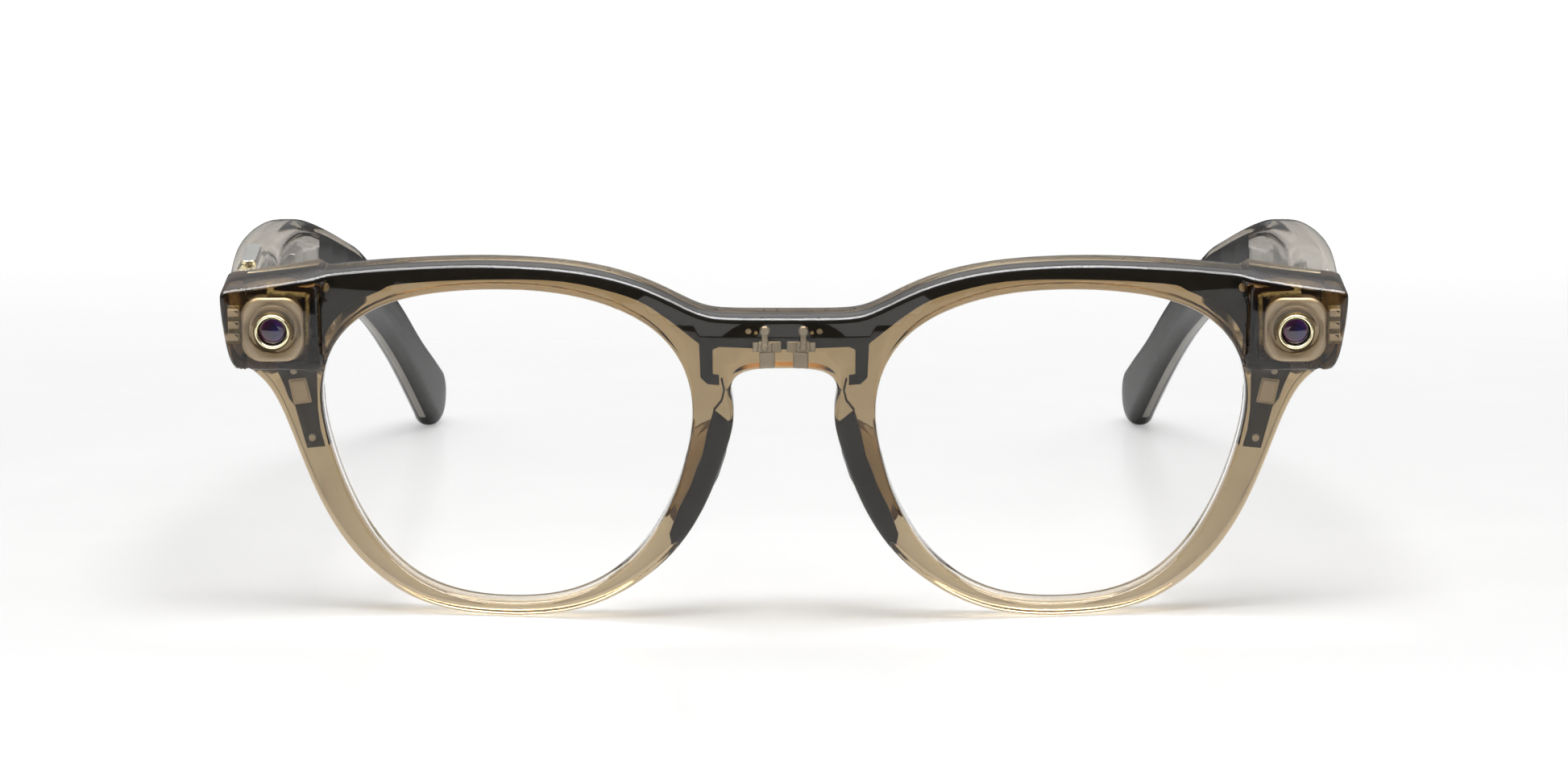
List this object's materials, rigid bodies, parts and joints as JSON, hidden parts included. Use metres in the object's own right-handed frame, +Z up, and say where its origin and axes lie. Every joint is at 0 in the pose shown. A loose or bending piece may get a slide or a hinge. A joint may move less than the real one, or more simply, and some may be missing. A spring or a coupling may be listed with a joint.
{
  "type": "camera glasses",
  "caption": "Folding smart glasses in translucent plastic: wrapped front with demo lenses and corner cameras, tall folding temples with speakers and batteries, top button and slide switch.",
  "frame": {"origin": "on the ground under the middle of the unfolded glasses, halfway between the two temples and halfway from the front to the temple tips", "axes": "+X to the wearer's left, +Y from the front towards the temple tips, +Z up; the front faces -Y"},
  "size_m": [0.1496, 0.165, 0.0486],
  "materials": {
    "translucent": "polished translucent sand-brown nylon",
    "nose_rubber": "soft satin, lightly tinted",
    "lens": "clear, coated",
    "champagne": "fine satin, warm grey anodised",
    "gold": "gold plated",
    "camera_glass": "dark with a purple coating",
    "black_film": "glossy black film",
    "black_plastic": "fine satin",
    "steel": "brushed",
    "circuit_board": "solder mask",
    "battery_foil": "satin foil",
    "grey_seal": "matte"
  },
  "bodies": {
    "front": {"front_frame": "translucent", "rear_cover": "translucent", "lens_left": "lens", "lens_right": "lens", "camera_bezel_left": "champagne", "camera_bezel_right": "champagne", "camera_barrel_left": "gold", "camera_barrel_right": "gold", "camera_glass_left": "camera_glass", "camera_glass_right": "camera_glass", "camera_sensor_left": "black_plastic", "camera_sensor_right": "black_plastic", "pod_contacts_left": "gold", "pod_contacts_right": "gold", "front_flex": "black_film", "rim_board_left": "black_film", "rim_board_right": "black_film", "rim_shield_left": "champagne", "rim_shield_right": "champagne", "front_screws": "steel", "charging_contact_left": "champagne", "charging_contact_right": "champagne", "nose_microphones": "gold", "nose_insert_left": "black_film", "nose_insert_right": "black_film", "nose_pad_left": "nose_rubber", "nose_pad_right": "nose_rubber", "hinge_plate_left": "steel", "hinge_plate_right": "steel", "hinge_pin_left": "steel", "hinge_pin_right": "steel"},
    "temple_left": {"temple_shell_left": "translucent", "temple_cover_left": "translucent", "temple_hinge_left": "steel", "temple_seal_left": "grey_seal", "tip_insert_left": "black_film", "speaker_left": "black_plastic", "speaker_grille_left": "black_plastic", "battery_left": "battery_foil", "switch_board": "circuit_board", "temple_microphone_left": "gold"},
    "temple_right": {"temple_shell_right": "translucent", "temple_cover_right": "translucent", "temple_hinge_right": "steel", "temple_seal_right": "grey_seal", "tip_insert_right": "black_film", "speaker_right": "black_plastic", "speaker_grille_right": "black_plastic", "battery_right": "battery_foil", "main_board": "circuit_board", "board_shields": "steel", "touch_sensor": "black_film", "button_switch": "steel", "wireless_antenna": "gold", "temple_microphone_right": "gold"},
    "capture_button": {"capture_button": "steel"},
    "power_switch": {"power_switch": "black_plastic"}
  },
  "joints": [
    {"name": "temple_left_fold", "type": "hinge", "parent": "front", "child": "temple_left", "pos_m": [0.066, -0.06393, 0.0395], "axis": [0, 0, 1], "range_deg": [0, 87]},
    {"name": "temple_right_fold", "type": "hinge", "parent": "front", "child": "temple_right", "pos_m": [-0.066, -0.06393, 0.0395], "axis": [0, 0, -1], "range_deg": [0, 80]},
    {"name": "button_press", "type": "slide", "parent": "temple_right", "child": "capture_button", "axis": [0, 0.1305, -0.9914], "range_m": [0, 0.0004], "stiffness_N_per_m": 800, "springref_m": -0.0005},
    {"name": "switch_slide", "type": "slide", "parent": "temple_left", "child": "power_switch", "axis": [0, 1, 0], "range_m": [0, 0.002]}
  ]
}
